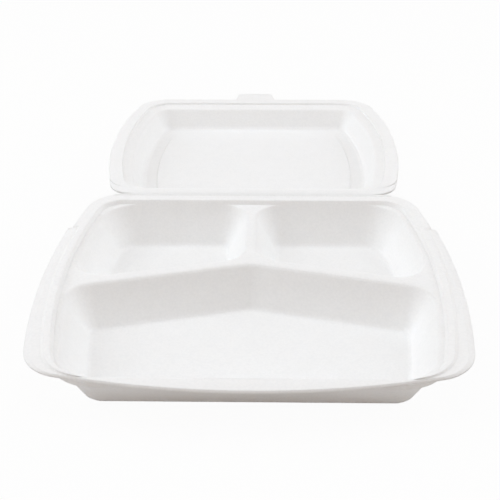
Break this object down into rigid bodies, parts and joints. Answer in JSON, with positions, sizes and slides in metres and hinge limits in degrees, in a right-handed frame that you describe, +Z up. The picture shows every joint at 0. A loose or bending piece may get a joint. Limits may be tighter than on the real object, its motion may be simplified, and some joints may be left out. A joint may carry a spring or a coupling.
{
  "type": "compartment meal box",
  "caption": "White foam meal box lying open: a shallow tray with divided compartments and a stepped rim, and a hinged lid with a raised lip and an opening tab.",
  "frame": {"origin": "middle of the tray in plan, on the table it stands on", "axes": "+X along the hinge crease, +Y back from the tray to the open lid, +Z up"},
  "size_m": [0.242, 0.4082, 0.0301],
  "materials": {
    "foam": "satin skin of fine-celled white polystyrene foam"
  },
  "bodies": {
    "tray": {"tray": "foam"},
    "lid": {"lid": "foam"}
  },
  "joints": [
    {"name": "lid_hinge", "type": "hinge", "parent": "tray", "child": "lid", "pos_m": [0, 0.1, 0.0302], "axis": [1, 0, 0], "range_deg": [0, 183.4]}
  ]
}
